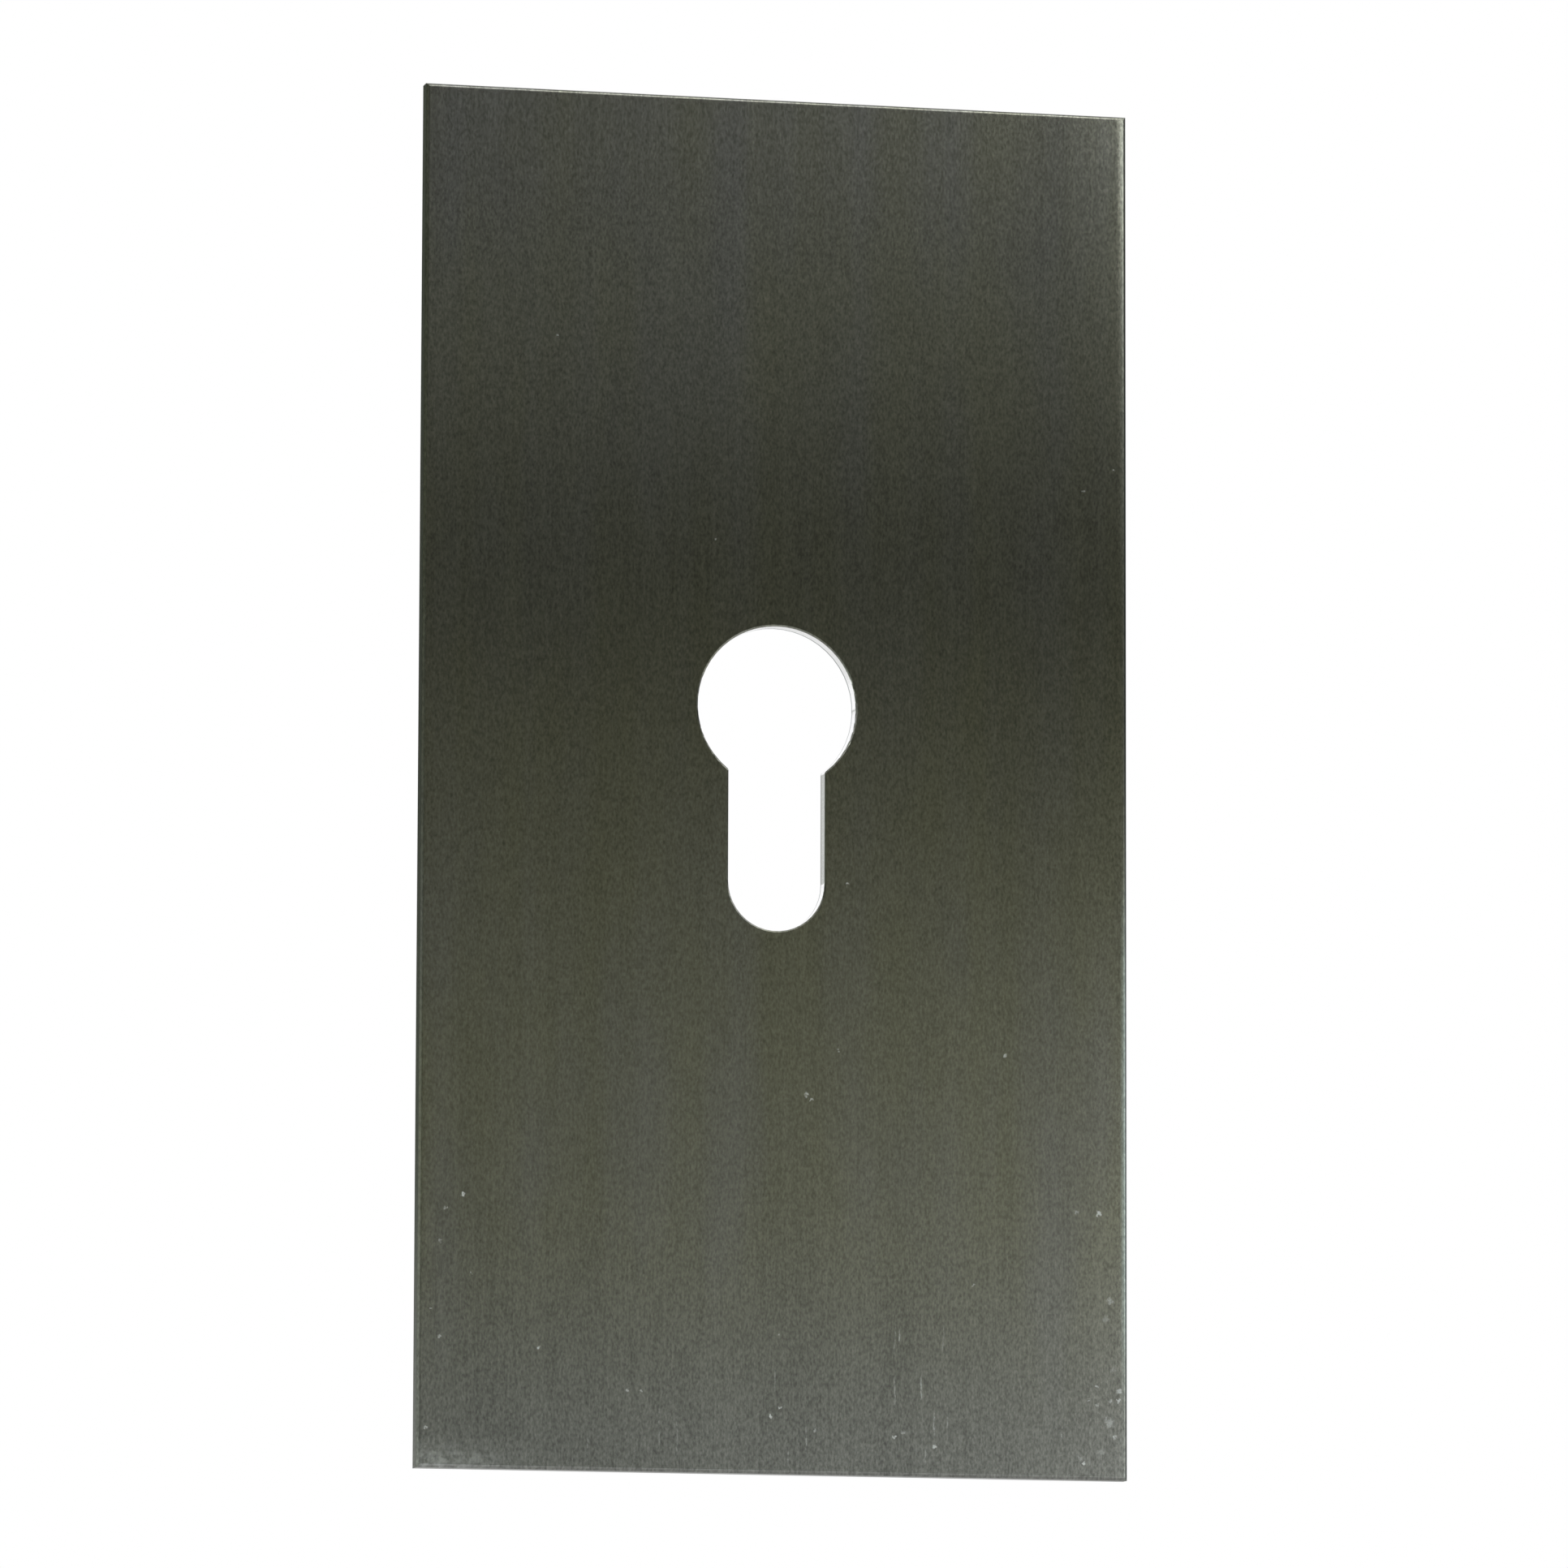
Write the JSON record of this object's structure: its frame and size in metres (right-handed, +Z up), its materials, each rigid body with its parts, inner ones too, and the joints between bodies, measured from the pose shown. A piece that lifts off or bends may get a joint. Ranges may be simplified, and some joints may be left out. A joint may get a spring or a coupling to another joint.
{
  "type": "keyhole escutcheon",
  "caption": "Flat rectangular brushed metal plate with a round-headed keyhole that frames a profile lock cylinder and covers the cut-out in the door behind it.",
  "frame": {"origin": "axis of the keyhole's round head, where it meets the plate's back face", "axes": "+Z up along the plate's long side, -Y out of the brushed face, +X to the right as seen from the front"},
  "size_m": [0.08, 0.002, 0.153],
  "materials": {
    "brushed_metal": "dark satin with fine vertical brush lines"
  },
  "bodies": {
    "root": {"escutcheon_plate": "brushed_metal"}
  },
  "joints": []
}
